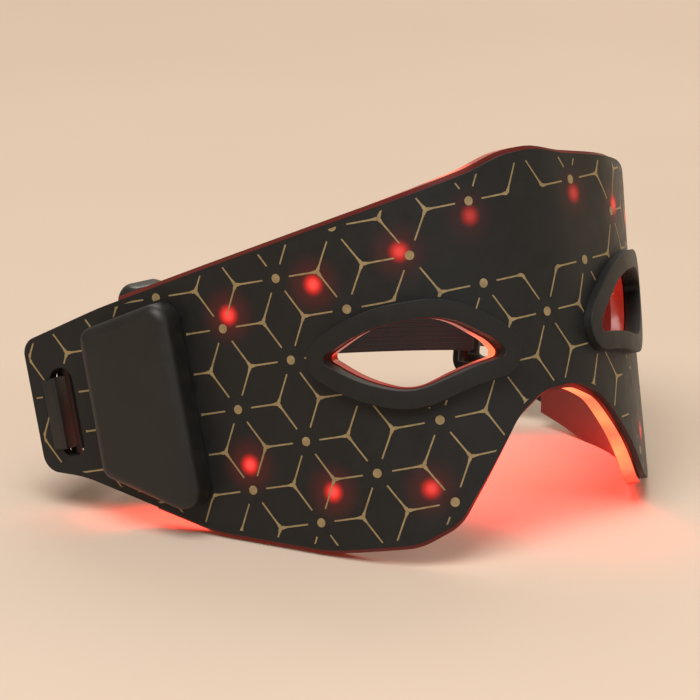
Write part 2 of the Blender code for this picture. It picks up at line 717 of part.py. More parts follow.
def main():
    place = Matrix.Translation((*ORIGIN_PLACE, ORIGIN_HEIGHT)) @ Matrix.Rotation(-LEAN, 4, "X")
    pose = empty("mask_pose", None, place)
    outline = sheet_outline()
    left_eye = rounded(EYE_CORNERS)
    eyes = [mirrored(left_eye), left_eye]
    make_cover(outline, eyes, pose)
    make_rims(eyes, pose)
    make_circuit(outline, eyes, pose)
    make_liner(outline, eyes, pose)
    make_diodes(pose)
    make_box(pose)
    hooks = [make_hook(side, name, pose) for side, name in ((-1, "right"), (1, "left"))]
    make_slider(None)
    make_strap(hooks)


main()
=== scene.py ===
"""Looks of the LED face mask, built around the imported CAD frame.

Lengths are in millimetres until MM turns them into metres. The soft sheet parts are drawn flat:
s runs along the face from the wearer's right (-) to left (+), v runs up and w stands out of the
outer surface. bend() wraps that sheet around the face, exactly as the CAD model does."""

import functools
import json
import math

import bmesh
import bpy
import numpy as np
from mathutils import Matrix, Vector
from mathutils.geometry import interpolate_bezier

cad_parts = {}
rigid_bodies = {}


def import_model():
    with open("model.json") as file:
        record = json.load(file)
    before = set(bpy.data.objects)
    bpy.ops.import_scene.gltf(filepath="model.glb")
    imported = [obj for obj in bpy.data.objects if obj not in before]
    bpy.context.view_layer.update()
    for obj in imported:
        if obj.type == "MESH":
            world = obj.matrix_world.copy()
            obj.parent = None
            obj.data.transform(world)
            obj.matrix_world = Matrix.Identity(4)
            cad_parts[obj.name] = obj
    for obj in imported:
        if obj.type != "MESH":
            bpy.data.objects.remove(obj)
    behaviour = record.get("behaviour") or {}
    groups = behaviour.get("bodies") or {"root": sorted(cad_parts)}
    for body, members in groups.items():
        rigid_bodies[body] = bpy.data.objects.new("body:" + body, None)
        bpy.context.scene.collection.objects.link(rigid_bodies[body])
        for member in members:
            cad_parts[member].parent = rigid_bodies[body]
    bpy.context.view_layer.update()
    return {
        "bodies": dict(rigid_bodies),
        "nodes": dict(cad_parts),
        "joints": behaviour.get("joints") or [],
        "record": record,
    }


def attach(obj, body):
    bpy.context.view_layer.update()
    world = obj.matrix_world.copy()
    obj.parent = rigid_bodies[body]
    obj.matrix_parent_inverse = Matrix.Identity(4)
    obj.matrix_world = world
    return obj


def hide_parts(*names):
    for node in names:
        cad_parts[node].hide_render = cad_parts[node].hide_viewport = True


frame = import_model()

MM = 0.001
GAP = 0.3
BODY = "mask"

# ---- the CAD model's driving dimensions, repeated ----
LEAN = math.radians(16.1)
ORIGIN_HEIGHT = 73.9
ORIGIN_PLACE = (0.7, -53.8)
TURN_STATIONS = (0, 17, 34, 51, 68)
TURN_RATES = (0.43, 0.88, 1.80, 1.21, 0.0)
LEFT_STATIONS = (0, 17, 34, 51, 68, 95, 126)
LEFT_RATES = (0.43, 1.94, 0.48, 0.06, 1.2, 1.35, 0.1)
FLARE_STATIONS = (12, 28)
FLARE_RATES = (0.0, 0.166)
FLARE_V = -77.0
COVER_BACK = -1.5
TAB_BACK = -3.0
TAB_START = 119.0
LINER_FRONT = -1.8
LINER_POCKET = -3.6
LINER_BACK = -5.2
LINER_LIP = 1.0
EYE_LIP = 0.3
LINER_END = 113.0
POCKET_MARGIN = 2.0
TOP_CORNERS = ((5, 18.9, 30), (15.5, 16.3, 35), (87, 4.9, 200), (118, -0.2, 100),
               (141.8, -5.6, 4.2))
TAB_CORNERS = ((141.8, -37.3, 4.8), (131, -40.1, 30))
CHEEK_ENDS = (97, 67)
CHEEK_RADIUS = 40
NOSE_CORNERS = ((44, -66.9, 16), (33.5, -63.6, 12), (13.5, -41.6, 14), (5, -37.3, 12))
EYE_CORNERS = ((59.4, -20.4, 1.5), (46, -14.6, 32), (29, -14.7, 20), (17.2, -23.2, 12),
               (14.8, -27.2, 1.5), (25, -28.3, 60), (38.8, -31.6, 16), (50, -27.3, 40))
RIM_WIDTH = 4.3
RIM_HEIGHT = 2.4
RIM_ROUNDING = 1.6
COLLAR = 1.5
SLOT_S = 132.7
SLOT_V = -24.0
SLOT_SIZE = (6.6, 22.0)
DIODES = ((17.2, 6.3), (36, 1.3), (58, -2.8), (82.3, -6.8), (84, -42.7), (62.8, -51.7),
          (38.6, -54.4), (31.0, -54.0), (21.8, -43.9), (10.2, -34.6), (9.8, -24.2))
DIODES_THROUGH_COVER = 7     # the others sit too close to the nose to show through the black skin
BOX_S = -108.0
BOX_V = -24.0
BOX_CORNERS = ((-13.0, 19.3, 3.5), (12.6, 23.8, 4.5), (12.6, -30.0, 5.0), (-13.4, -16.0, 4.0))
BOX_FRONT = 8.0
BOX_BEVEL = 2.8
BOX_WALL = 1.4
SEAL_TOP = 0.9
BUTTON_Z = -3.0
BUTTON_W = 3.5
BUTTON_SIZE = (9.0, 2.6)
SOCKET_PLACE = (-2.6, -21.8)
SOCKET_SIZE = (8.9, 3.2)
SOCKET_W = 3.5
STRAP_WIDTH = 20.0
STRAP_THICKNESS = 1.2
HOOK_X = 1.95
HOOK_HALF_WIDTH = 13.2
HOOK_CROWN = (0.7, 3.2)      # x range of each part of a hook, outwards from its slot
HOOK_LEG = (0.9, 2.7)
HOOK_LIP = (1.1, 4.7)
HOOK_LIP_FRONT = -1.3        # y of the lip's outer face
HOOK_SOFTNESS = 0.35
CROWN_SOFTNESS = 0.4
CROWN_WINDOW = (5.1, 14.0)   # y range of the cut that lets the webbing through the crown
BAR_W = -10.6
BAR_RADIUS = 1.25
LOOP_RADIUS = 2.2
SLIDER_PLACE = (-23.1, 62.7, 26.4)
SLIDER_SIZE = (14.8, 5.6, 31.0)
SLIDER_CORNER = 4.0
SLIDER_BAR = 3.4
PLY_OFFSET = 0.9
STRAIGHT_RUN = 17.5
BEND_AT_RIGHT = 13.0         # length of the curve's handle at each hook
BEND_AT_LEFT = 12.0
SEWN_POINTS = 9

# ---- finer than CAD ----
FACET_TURN = 1.5             # degrees of turn in one facet of a bent sheet
ARC_STEP = 5.0               # degrees of arc in one side of a rounded outline
EDGE_ROUNDING = 0.45         # moulded edges of the cover

# ---- the gold print: dots on a triangular lattice, three-armed stars in its triangles ----
PRINT_COLUMN = 16.887
PRINT_ROW = 19.5
DOT_RADIUS = 1.1
ARM_LENGTH = 7.6
ARM_PROFILE = ((0.75, 0.42), (1.2, 0.28), (1.9, 0.21), (ARM_LENGTH, 0.18))
STAR_WAIST = 0.5             # from the star's centre to its edge between two arms
PRINT_MARGIN = 1.2           # the print stops this far from edges
PRINT_HEIGHT = 0.05

# ---- webbing and stitches ----
RIBS = 16
RIB_DEPTH = 0.07
LOOP_STEPS = 16
WEAVE_UNIT = 5.0             # millimetres of webbing in one unit of its UV map
STITCH_INSET = 2.2
STITCH_PITCH = 2.4
STITCH_HALF_SIZE = (0.95, 0.16, 0.22)

# ---- stage; lamps as (name, place, target, watts, colour, size, spread), in metres and degrees ----
MIDDLE = (0, 0, 0.04)
FULL_SPREAD = 180
LAMPS = (
    ("key", (-0.55, -0.35, 1.25), MIDDLE, 18.5, (1.0, 0.96, 0.93), 0.9, FULL_SPREAD),
    ("front_fill", (0.15, -1.2, 0.75), MIDDLE, 2.0, (0.86, 0.92, 1.0), 0.5, FULL_SPREAD),
    ("rim", (1.3, 0.1, 0.40), MIDDLE, 4.5, (1.0, 0.80, 0.50), 1.4, FULL_SPREAD),
    ("backdrop", (1.3, 1.3, 1.5), (1.1, 1.3, 0.0), 22, (1.0, 0.95, 0.90), 1.6, FULL_SPREAD),
    ("diode_wash", (0.028, -0.020, 0.028), (0.032, -0.032, 0.0), 0.060, (1.0, 0.008, 0.002), 0.045, 105),
    ("diode_wash_side", (-0.048, 0.006, 0.011), (-0.080, 0.012, -0.008), 0.009, (1.0, 0.02, 0.006),
     0.016, 80))
WORLD_COLOUR = (1.0, 0.86, 0.70, 1)
WORLD_STRENGTH = 0.32
FLOOR_HALF_SIZE = 4.0        # metres
FLOOR_DROP = 0.0001          # metres
CAMERA_FROM_BROW = (-664.85, -693.81, 241.60)   # millimetres
CAMERA_AHEAD = (0.63413, 0.72392, -0.27170)
CAMERA_LENS = 216

POSE = Matrix.Translation(Vector((*ORIGIN_PLACE, ORIGIN_HEIGHT)) * MM) @ Matrix.Rotation(-LEAN, 4, "X")
DISTANCES = np.linspace(-160, 160, 1281)


# ---------------------------------------------------------------- face curve
def integral(values):
    total = np.concatenate([[0], np.cumsum((values[1:] + values[:-1]) / 2 * np.diff(DISTANCES))])
    return total - np.interp(0, DISTANCES, total)


def turn_at_flare_v():
    right = np.interp(-DISTANCES, TURN_STATIONS, TURN_RATES)
    left = np.interp(DISTANCES, LEFT_STATIONS, LEFT_RATES)
    return integral(np.radians(np.where(DISTANCES < 0, right, left)))


def flare(s):
    return np.interp(s, FLARE_STATIONS, FLARE_RATES)


TURN = turn_at_flare_v()


@functools.lru_cache(maxsize=None)
def face_curve(v):
    turn = np.interp(DISTANCES - flare(DISTANCES) * (v - FLARE_V), DISTANCES, TURN)
    return integral(np.cos(turn)), integral(np.sin(turn)), turn


def bend(s, v, w):
    x, y, turn = (float(np.interp(s, DISTANCES, values)) for values in face_curve(round(v, 1)))
    return Vector((x + math.sin(turn) * w, y - math.cos(turn) * w, v))


def place_on_sheet(s, v, w=0.0):
    """Frame on the bent sheet, in world millimetres: x along it, y inwards, z up the sheet."""
    along = bend(s + 1, v, w) - bend(s - 1, v, w)
    up = (bend(s, v + 1, w) - bend(s, v - 1, w)).normalized()
    inwards = up.cross(along).normalized()
    axes = Matrix((inwards.cross(up), inwards, up)).transposed()
    local = Matrix.Translation(bend(s, v, w)) @ axes.to_4x4()
    turned = POSE.copy()
    turned.translation = POSE.translation / MM
    return turned @ local


def table_v(s):
    v = 0
    for step in range(6):
        v = (bend(s, v, LINER_BACK).y * math.sin(LEAN) - ORIGIN_HEIGHT) / math.cos(LEAN)
    return v


def facet_cuts():
    turn = np.degrees(TURN)
    levels = np.arange(math.ceil(turn[0] / FACET_TURN), turn[-1] / FACET_TURN) * FACET_TURN
    places = np.interp(levels, turn, DISTANCES)
    return [(float(s), float(flare(s))) for s in places]


# ---------------------------------------------------------------- outlines
def rounded(corners, arc_step=ARC_STEP):
    """Closed polygon whose corners (x, y, radius) are arcs."""
    points = []
    for index, (x, y, radius) in enumerate(corners):
        here = Vector((x, y))
        before = Vector(corners[index - 1][:2]) - here
        after = Vector(corners[(index + 1) % len(corners)][:2]) - here
        half = before.angle(after) / 2
        reach = min(radius / math.tan(half), 0.49 * before.length, 0.49 * after.length)
        before.normalize()
        after.normalize()
        centre = here + (before + after).normalized() * reach / math.cos(half)
        first = here + before * reach - centre
        sweep = math.pi - 2 * half
        if before.cross(after) > 0:
            sweep = -sweep
        steps = max(2, math.ceil(math.degrees(abs(sweep)) / arc_step))
        points += [centre + Matrix.Rotation(sweep * step / steps, 2) @ first for step in range(steps + 1)]
    return points


def grown(points, distance):
    """The closed polygon moved outwards by a distance, or inwards where it is negative."""
    count = len(points)
    area = sum(points[i - 1].cross(points[i]) for i in range(count))
    moved = []
    for i in range(count):
        ahead = (points[(i + 1) % count] - points[i]).normalized()
        along = (points[i] - points[i - 1]).normalized() + ahead
        along.normalize()
        stretch = distance / max(0.5, along.dot(ahead))
        moved.append(points[i] + Vector((along.y, -along.x)) * math.copysign(stretch, area * distance))
    return moved


def mirrored(points):
    return [Vector((-point.x, point.y)) for point in reversed(points)]


def clipped(points, end):
    for side in (1, -1):
        kept = []
        for i, point in enumerate(points):
            last = points[i - 1]
            if (last.x * side - end) * (point.x * side - end) < 0:
                kept.append(last.lerp(point, (end * side - last.x) / (point.x - last.x)))
            if point.x * side <= end:
                kept.append(point)
        points = kept
    return points


def shifted(points, move):
    return [point + Vector(move) for point in points]


def pill(x, y, width, length, step=15):
    radius = min(width, length) / 2 - 0.05
    return rounded([(x + i * width / 2, y + j * length / 2, radius)
                    for i, j in ((-1, -1), (1, -1), (1, 1), (-1, 1))], step)


def disc(x, y, radius, count=24):
    turns = [math.tau * i / count for i in range(count)]
    return [Vector((x + radius * math.cos(turn), y + radius * math.sin(turn))) for turn in turns]


def sheet_outline():
    halves = []
    for side in (1, -1):
        cheeks = [(s, table_v(s * side) + LINER_LIP, CHEEK_RADIUS) for s in CHEEK_ENDS]
        half = list(TOP_CORNERS) + list(TAB_CORNERS) + cheeks + list(NOSE_CORNERS)
        halves.append([(s * side, v, radius) for s, v, radius in half])
    return rounded(halves[0] + halves[1][::-1])


OUTLINE = sheet_outline()
LEFT_EYE = rounded(EYE_CORNERS)
EYES = {"right": mirrored(LEFT_EYE), "left": LEFT_EYE}
SLOTS = [pill(side * SLOT_S, SLOT_V, *SLOT_SIZE) for side in (-1, 1)]


# ---------------------------------------------------------------- mesh tools
def plate(loops, front, back):
    """Flat closed solid between two values of w, with x = s, y = -w and z = v."""
    curve = bpy.data.curves.new("outline", "CURVE")
    curve.dimensions = "2D"
    curve.fill_mode = "BOTH"
    curve.extrude = (front - back) / 2
    for loop in loops:
        spline = curve.splines.new("POLY")
        spline.points.add(len(loop) - 1)
        for point, place in zip(spline.points, loop):
            point.co = (place.x, place.y, 0, 1)
        spline.use_cyclic_u = True
    guide = bpy.data.objects.new("outline", curve)
    bpy.context.scene.collection.objects.link(guide)
    bpy.context.view_layer.update()
    mesh = bpy.data.meshes.new_from_object(guide.evaluated_get(bpy.context.evaluated_depsgraph_get()))
    bpy.data.objects.remove(guide)
    bpy.data.curves.remove(curve)
    solid = bmesh.new()
    solid.from_mesh(mesh)
    bmesh.ops.remove_doubles(solid, verts=solid.verts, dist=0.001)
    bmesh.ops.dissolve_limit(solid, angle_limit=0.001, verts=solid.verts, edges=solid.edges)
    stand = Matrix.Translation((0, -(front + back) / 2, 0)) @ Matrix.Rotation(math.pi / 2, 4, "X")
    bmesh.ops.transform(solid, matrix=stand, verts=solid.verts)
    bmesh.ops.recalc_face_normals(solid, faces=solid.faces)
    if solid.calc_volume(signed=True) < 0:
        bmesh.ops.reverse_faces(solid, faces=solid.faces)
    solid.to_mesh(mesh)
    solid.free()
    return mesh


def block(low, high):
    solid = bmesh.new()
    bmesh.ops.create_cube(solid, size=1)
    bmesh.ops.scale(solid, vec=Vector(high) - Vector(low), verts=solid.verts)
    bmesh.ops.translate(solid, vec=(Vector(high) + Vector(low)) / 2, verts=solid.verts)
    mesh = bpy.data.meshes.new("block")
    solid.to_mesh(mesh)
    solid.free()
    return mesh


def rod(start, end, radius, count=32):
    start, end = Vector(start), Vector(end)
    axis = end - start
    turn = axis.to_track_quat("Z", "Y").to_matrix().to_4x4()
    solid = bmesh.new()
    bmesh.ops.create_cone(solid, cap_ends=True, segments=count, radius1=radius, radius2=radius,
                          depth=axis.length, matrix=Matrix.Translation((start + end) / 2) @ turn)
    mesh = bpy.data.meshes.new("rod")
    solid.to_mesh(mesh)
    solid.free()
    return mesh


def combined(mesh, others, operation):
    """The mesh after Boolean steps with each of the others."""
    for other in others:
        body = bpy.data.objects.new("body", mesh)
        cutter = bpy.data.objects.new("cutter", other)
        for made in (body, cutter):
            bpy.context.scene.collection.objects.link(made)
        step = body.modifiers.new("step", "BOOLEAN")
        step.operation = operation
        step.object = cutter
        bpy.context.view_layer.update()
        mesh = bpy.data.meshes.new_from_object(body.evaluated_get(bpy.context.evaluated_depsgraph_get()))
        bpy.data.objects.remove(body)
        bpy.data.objects.remove(cutter)
    return mesh


def cut(mesh, *others):
    return combined(mesh, others, "DIFFERENCE")


def joined(mesh, *others):
    return combined(mesh, others, "UNION")


def rounded_edges(mesh, level, width, segments):
    """The plate with the sharp edges that lie at y = -level bevelled."""
    solid = bmesh.new()
    solid.from_mesh(mesh)
    edges = [edge for edge in solid.edges if all(abs(v.co.y + level) < 0.01 for v in edge.verts)
             and edge.calc_face_angle(0) > 1]
    bmesh.ops.bevel(solid, geom=edges, offset=width, segments=segments, profile=0.5, affect="EDGES",
                    clamp_overlap=True)
    bmesh.ops.remove_doubles(solid, verts=solid.verts, dist=0.01)
    solid.to_mesh(mesh)
    solid.free()
    return mesh


def softened(mesh, width, segments=2):
    """All sharp edges rounded."""
    solid = bmesh.new()
    solid.from_mesh(mesh)
    bmesh.ops.dissolve_limit(solid, angle_limit=0.02, verts=solid.verts, edges=solid.edges)
    edges = [edge for edge in solid.edges if edge.calc_face_angle(0) > 0.6]
    bmesh.ops.bevel(solid, geom=edges, offset=width, segments=segments, profile=0.5, affect="EDGES",
                    clamp_overlap=True)
    solid.to_mesh(mesh)
    solid.free()
    return mesh


def piece(name, mesh, look, nodes=(), body=BODY, sharp=40, side_look=None):
    """Put a finished mesh (in metres, world) in the scene as a piece that rides on a body."""
    mesh.name = name
    for used in (look, side_look):
        if used:
            mesh.materials.append(used)
    mesh.shade_smooth()
    mesh.set_sharp_from_angle(angle=math.radians(sharp))
    made = bpy.data.objects.new(name, mesh)
    bpy.context.scene.collection.objects.link(made)
    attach(made, body)
    if nodes:
        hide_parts(*nodes)
    return made


def mark_walls(mesh):
    """Give the faces across the sheet's thickness the second material."""
    for face in mesh.polygons:
        face.material_index = int(abs(face.normal.y) < 0.6)
    return mesh


def wrapped(mesh):
    """The flat solid cut into facets, bent around the face and put in its place, in metres.
    Its UV map keeps the flat place: (s, v) in units of 100 mm."""
    solid = bmesh.new()
    solid.from_mesh(mesh)
    for s, slope in facet_cuts():
        bmesh.ops.bisect_plane(solid, geom=solid.verts[:] + solid.edges[:] + solid.faces[:], dist=0.002,
                               plane_co=(s, 0, FLARE_V), plane_no=(1, 0, -slope))
    bmesh.ops.triangulate(solid, faces=solid.faces)
    flat = solid.loops.layers.uv.new("sheet")
    for face in solid.faces:
        for corner in face.loops:
            corner[flat].uv = (corner.vert.co.x / 100, corner.vert.co.z / 100)
    for vertex in solid.verts:
        vertex.co = POSE @ (bend(vertex.co.x, vertex.co.z, -vertex.co.y) * MM)
    solid.to_mesh(mesh)
    solid.free()
    return mesh


def placed(mesh, place):
    """The mesh (in millimetres) moved to its place in the world, in metres."""
    mesh.transform(Matrix.Scale(MM, 4) @ place)
    return mesh


# ---------------------------------------------------------------- materials
class Look:
    """A Principled material with short helpers for its nodes."""

    def __init__(self, name, roughness=0.5, metallic=0.0, colour=(0.5, 0.5, 0.5)):
        self.material = bpy.data.materials.new(name)
        self.material.use_nodes = True
        self.nodes = self.material.node_tree.nodes
        self.links = self.material.node_tree.links
        self.shader = self.nodes["Principled BSDF"]
        self.set("Base Color", (*colour, 1))
        self.set("Roughness", roughness)
        self.set("Metallic", metallic)

    def set(self, socket, value):
        self.shader.inputs[socket].default_value = value

    def link(self, output, socket):
        self.links.new(output, self.shader.inputs[socket])

    def node(self, kind, inputs=(), **values):
        made = self.nodes.new("ShaderNode" + kind)
        for key, value in values.items():
            setattr(made, key, value)
        for key, value in dict(inputs).items():
            if isinstance(value, bpy.types.NodeSocket):
                self.links.new(value, made.inputs[key])
            else:
                made.inputs[key].default_value = value
        return made

    def math(self, operation, first, second=0.0, third=0.0):
        return self.node("Math", {0: first, 1: second, 2: third}, operation=operation).outputs[0]

    def noise(self, scale, detail=3.0, roughness=0.55, vector=None):
        inputs = {"Scale": scale, "Detail": detail, "Roughness": roughness}
        inputs["Vector"] = vector or self.node("TexCoord").outputs["Object"]
        return self.node("TexNoise", inputs).outputs["Fac"]

    def span(self, value, low, high, to_low=0.0, to_high=1.0, smooth=False):
        kind = "SMOOTHSTEP" if smooth else "LINEAR"
        ends = {"Value": value, "From Min": low, "From Max": high, "To Min": to_low, "To Max": to_high}
        return self.node("MapRange", ends, interpolation_type=kind).outputs["Result"]

    def ramp(self, value, *stops):
        made = self.node("ValToRGB", {"Fac": value})
        elements = made.color_ramp.elements
        while len(elements) < len(stops):
            elements.new(0.5)
        for element, (place, colour) in zip(elements, stops):
            element.position = place
            element.color = (*colour, 1)
        return made.outputs["Color"]

    def curve(self, value, *places):
        """The value remapped through a smooth curve of (from, to) places."""
        made = self.node("FloatCurve", {"Value": value})
        points = made.mapping.curves[0].points
        points[0].location = places[0]
        points[1].location = places[-1]
        for place in places[1:-1]:
            points.new(*place)
        made.mapping.update()
        return made.outputs["Value"]

    def bump(self, height, distance, strength=1.0):
        made = self.node("Bump", {"Height": height, "Distance": distance, "Strength": strength})
        self.link(made.outputs["Normal"], "Normal")
        return made

    def flat_place(self):
        """Flat place on the sheet as the vector (s, v, 0) in millimetres."""
        uv = self.node("UVMap", uv_map="sheet").outputs["UV"]
        return self.node("VectorMath", {0: uv, 3: 100.0}, operation="SCALE").outputs["Vector"]

    def nearest_diode(self, places):
        """Distance in millimetres, on the flat sheet, to the nearest of the diodes."""
        here = self.flat_place()
        nearest = None
        for s, v in places:
            gap = self.node("VectorMath", {0: here, 1: (s, v, 0)}, operation="DISTANCE").outputs["Value"]
            nearest = gap if nearest is None else self.math("MINIMUM", nearest, gap)
        return nearest


def both_sides(diodes):
    return [(s * side, v) for side in (-1, 1) for s, v in diodes]


def fine_grain(look, grain=9000, depth=0.00004, smudges=260):
    """Fine moulded texture, and slow changes of gloss as hands leave them."""
    small = look.noise(grain, 2.0)
    large = look.noise(smudges, 4.0)
    look.bump(look.math("MULTIPLY_ADD", large, 0.35, small), depth, 0.55)
    return large


def silicone_look(name, glowing):
    """Black silicone: fine grain, soft haze, and red light through it over the diodes."""
    look = Look(name)
    patches = fine_grain(look)
    look.link(look.ramp(patches, (0.3, (0.0058, 0.0060, 0.0060)), (0.7, (0.0088, 0.0088, 0.0084))),
              "Base Color")
    look.link(look.span(patches, 0.3, 0.7, 0.46, 0.58), "Roughness")
    look.set("Specular IOR Level", 0.36)
    look.set("Sheen Weight", 0.03)
    look.set("Sheen Roughness", 0.45)
    if glowing:
        gap = look.nearest_diode(both_sides(DIODES[:DIODES_THROUGH_COVER]))
        core = look.span(gap, 0.3, 3.2, 1.0, 0.0, True)
        halo = look.span(gap, 0.0, 8.5, 1.0, 0.0, True)
        light = look.math("MULTIPLY_ADD", core, 1.15, look.math("MULTIPLY", halo, 0.10))
        along = look.node("SeparateXYZ", {0: look.flat_place()}).outputs["X"]
        share = look.span(look.math("ABSOLUTE", along), 12, 60, 0.35, 1.0, True)
        look.link(look.ramp(core, (0.0, (0.75, 0.006, 0.004)), (0.6, (0.95, 0.02, 0.012)),
                            (1.0, (1.0, 0.055, 0.045))), "Emission Color")
        look.link(look.math("MULTIPLY", light, share), "Emission Strength")
    return look.material


def liner_face_look():
    """Back of the clear silicone tray: deep red over the dark film behind it, with painted diode light:
    lighter red and glowing near each diode.
    """
    look = Look("clear_silicone", 0.30)
    look.bump(look.noise(1500, 2.0), 0.00003, 0.5)
    near = look.span(look.nearest_diode(both_sides(DIODES)), 0.0, 12.0, 1.0, 0.0)
    # painted light: the base colour turns lighter red near each diode, standing in for the diodes' light on
    # the tray
    look.link(look.ramp(near, (0.0, (0.10, 0.014, 0.010)), (1.0, (0.30, 0.035, 0.022))), "Base Color")
    look.link(look.ramp(near, (0.0, (0.55, 0.006, 0.004)), (0.8, (1.0, 0.035, 0.018)),
                        (1.0, (1.0, 0.22, 0.08))), "Emission Color")
    light = look.curve(near, (0.0, 0.05), (0.5, 0.12), (0.8, 0.35), (1.0, 1.0))
    look.link(look.math("MULTIPLY", light, 1.5), "Emission Strength")
    return look.material


def liner_wall_look():
    """Cut edges of the clear silicone tray, where the red light of the diodes comes out."""
    look = Look("clear_silicone_edge", 0.22, colour=(0.75, 0.30, 0.24))
    look.bump(look.noise(1500, 2.0), 0.00003, 0.5)
    near = look.span(look.nearest_diode(both_sides(DIODES)), 1.5, 13.0, 1.0, 0.0)
    # painted light: the base colour is lighter and warmer near each diode, as lit by it; the emission below
    # is the diodes' light coming out of the edges
    look.link(look.ramp(near, (0.0, (0.25, 0.05, 0.035)), (1.0, (0.80, 0.24, 0.12))), "Base Color")
    look.link(look.ramp(near, (0.0, (0.9, 0.03, 0.012)), (0.35, (1.0, 0.13, 0.06)),
                        (0.7, (1.0, 0.22, 0.07)), (0.86, (1.0, 0.70, 0.24))), "Emission Color")
    streaks = look.span(look.noise(220, 3.0), 0.3, 0.7, 0.7, 1.2)
    light = look.curve(near, (0.0, 0.10), (0.2, 0.40), (0.5, 0.50), (0.75, 0.65), (1.0, 1.0))
    look.link(look.math("MULTIPLY", look.math("MULTIPLY", light, 2.5), streaks), "Emission Strength")
    look.set("Subsurface Weight", 0.2)
    look.set("Subsurface Radius", (0.004, 0.0008, 0.0005))
    return look.material


def gold_look():
    """Matt gold print, a little uneven."""
    look = Look("gold_print", metallic=0.35)
    patches = look.noise(700, 4.0)
    look.link(look.ramp(patches, (0.3, (0.27, 0.20, 0.10)), (0.7, (0.38, 0.29, 0.15))), "Base Color")
    look.link(look.span(patches, 0.3, 0.7, 0.36, 0.52), "Roughness")
    look.bump(look.noise(5000, 2.0), 0.00002, 0.4)
    return look.material


def plastic_look(name, colour, roughness, coat=0.0):
    """Moulded plastic with a fine spark texture."""
    look = Look(name)
    patches = fine_grain(look, 7000, 0.00003, 200)
    low = tuple(c * 0.85 for c in colour)
    high = tuple(c * 1.2 for c in colour)
    look.link(look.ramp(patches, (0.3, low), (0.7, high)), "Base Color")
    look.link(look.span(patches, 0.3, 0.7, roughness - 0.05, roughness + 0.06), "Roughness")
    look.set("Coat Weight", coat)
    look.set("Coat Roughness", 0.12)
    return look.material


def webbing_look():
    """Elastic webbing: lengthwise ribs crossed by a fine weave, with a soft nap."""
    look = Look("webbing", 0.85)
    uv = look.node("UVMap", uv_map="weave").outputs["UV"]
    ribs = look.node("TexWave", {"Vector": uv, "Scale": 3.6, "Distortion": 0.0},
                     bands_direction="Y").outputs["Fac"]
    picks = look.node("TexWave", {"Vector": uv, "Scale": 5.2, "Distortion": 0.6, "Detail": 2.0},
                      bands_direction="X").outputs["Fac"]
    weave = look.math("MULTIPLY", ribs, picks)
    fuzz = look.noise(4000, 4.0)
    look.bump(look.math("MULTIPLY_ADD", fuzz, 0.5, weave), 0.00008, 0.6)
    look.link(look.ramp(look.math("MULTIPLY_ADD", fuzz, 0.4, weave), (0.1, (0.007, 0.006, 0.0055)),
                        (1.0, (0.020, 0.016, 0.015))), "Base Color")
    look.set("Sheen Weight", 0.08)
    look.set("Sheen Roughness", 0.5)
    return look.material


def metal_look(name, colour, roughness):
    """Plated steel or foil with faint brush marks."""
    look = Look(name, metallic=1.0)
    marks = look.node("TexCoord").outputs["Object"]
    marks = look.node("Mapping", {"Vector": marks, "Scale": (1.0, 1.0, 14.0)}).outputs["Vector"]
    streaks = look.noise(500, 4.0, vector=marks)
    look.link(look.ramp(streaks, (0.3, tuple(c * 0.8 for c in colour)), (0.7, colour)), "Base Color")
    look.link(look.span(streaks, 0.3, 0.7, roughness - 0.06, roughness + 0.08), "Roughness")
    look.bump(streaks, 0.00001, 0.3)
    return look.material


def board_look():
    """Green solder mask over faint copper tracks."""
    look = Look("circuit_board", 0.35)
    here = look.node("TexCoord").outputs["Object"]
    tracks = look.node("TexBrick", {"Vector": here, "Scale": 260.0, "Mortar Size": 0.03}).outputs["Fac"]
    look.link(look.ramp(tracks, (0.0, (0.012, 0.11, 0.045)), (1.0, (0.05, 0.26, 0.12))), "Base Color")
    look.bump(tracks, 0.00003, 0.4)
    return look.material


def film_look():
    """White polyimide film with a pale grain."""
    look = Look("flexible_film", 0.45)
    patches = look.noise(300, 4.0)
    look.link(look.ramp(patches, (0.3, (0.55, 0.50, 0.45)), (0.7, (0.72, 0.68, 0.62))), "Base Color")
    look.bump(look.noise(3000, 2.0), 0.00002, 0.4)
    return look.material


def diode_look():
    """Lit diode: a bright orange dome in a pale body."""
    look = Look("red_diode", 0.25, colour=(0.9, 0.5, 0.4))
    patches = look.noise(900, 2.0)
    look.link(look.ramp(patches, (0.3, (0.85, 0.35, 0.22)), (0.7, (0.95, 0.55, 0.40))), "Base Color")
    look.link(look.ramp(patches, (0.3, (1.0, 0.30, 0.08)), (0.7, (1.0, 0.42, 0.14))), "Emission Color")
    look.set("Emission Strength", 5.0)
    return look.material


def floor_look():
    """Pale warm paper."""
    look = Look("floor", 0.8)
    patches = look.noise(3.0, 3.0)
    tones = look.ramp(patches, (0.35, (0.610, 0.495, 0.398)), (0.65, (0.640, 0.522, 0.420)))
    look.link(tones, "Base Color")
    look.set("Specular IOR Level", 0.25)
    return look.material


SKIN = silicone_look("black_silicone_glowing", True)
RUBBER = silicone_look("black_silicone", False)
CLEAR = liner_face_look()
CLEAR_WALL = liner_wall_look()
GOLD = gold_look()
CASE = plastic_look("case_plastic", (0.0075, 0.0072, 0.0066), 0.46)
GLOSS = plastic_look("fitting_plastic", (0.007, 0.0065, 0.007), 0.26, 0.3)
WEBBING = webbing_look()
THREAD = plastic_look("stitch_thread", (0.02, 0.019, 0.019), 0.7)
STEEL = metal_look("steel", (0.58, 0.58, 0.58), 0.28)
FOIL = metal_look("battery_foil", (0.66, 0.67, 0.70), 0.36)


# ---------------------------------------------------------------- shell
def box_outline(margin=0.0):
    return shifted(grown(rounded(BOX_CORNERS), margin), (BOX_S, BOX_V))


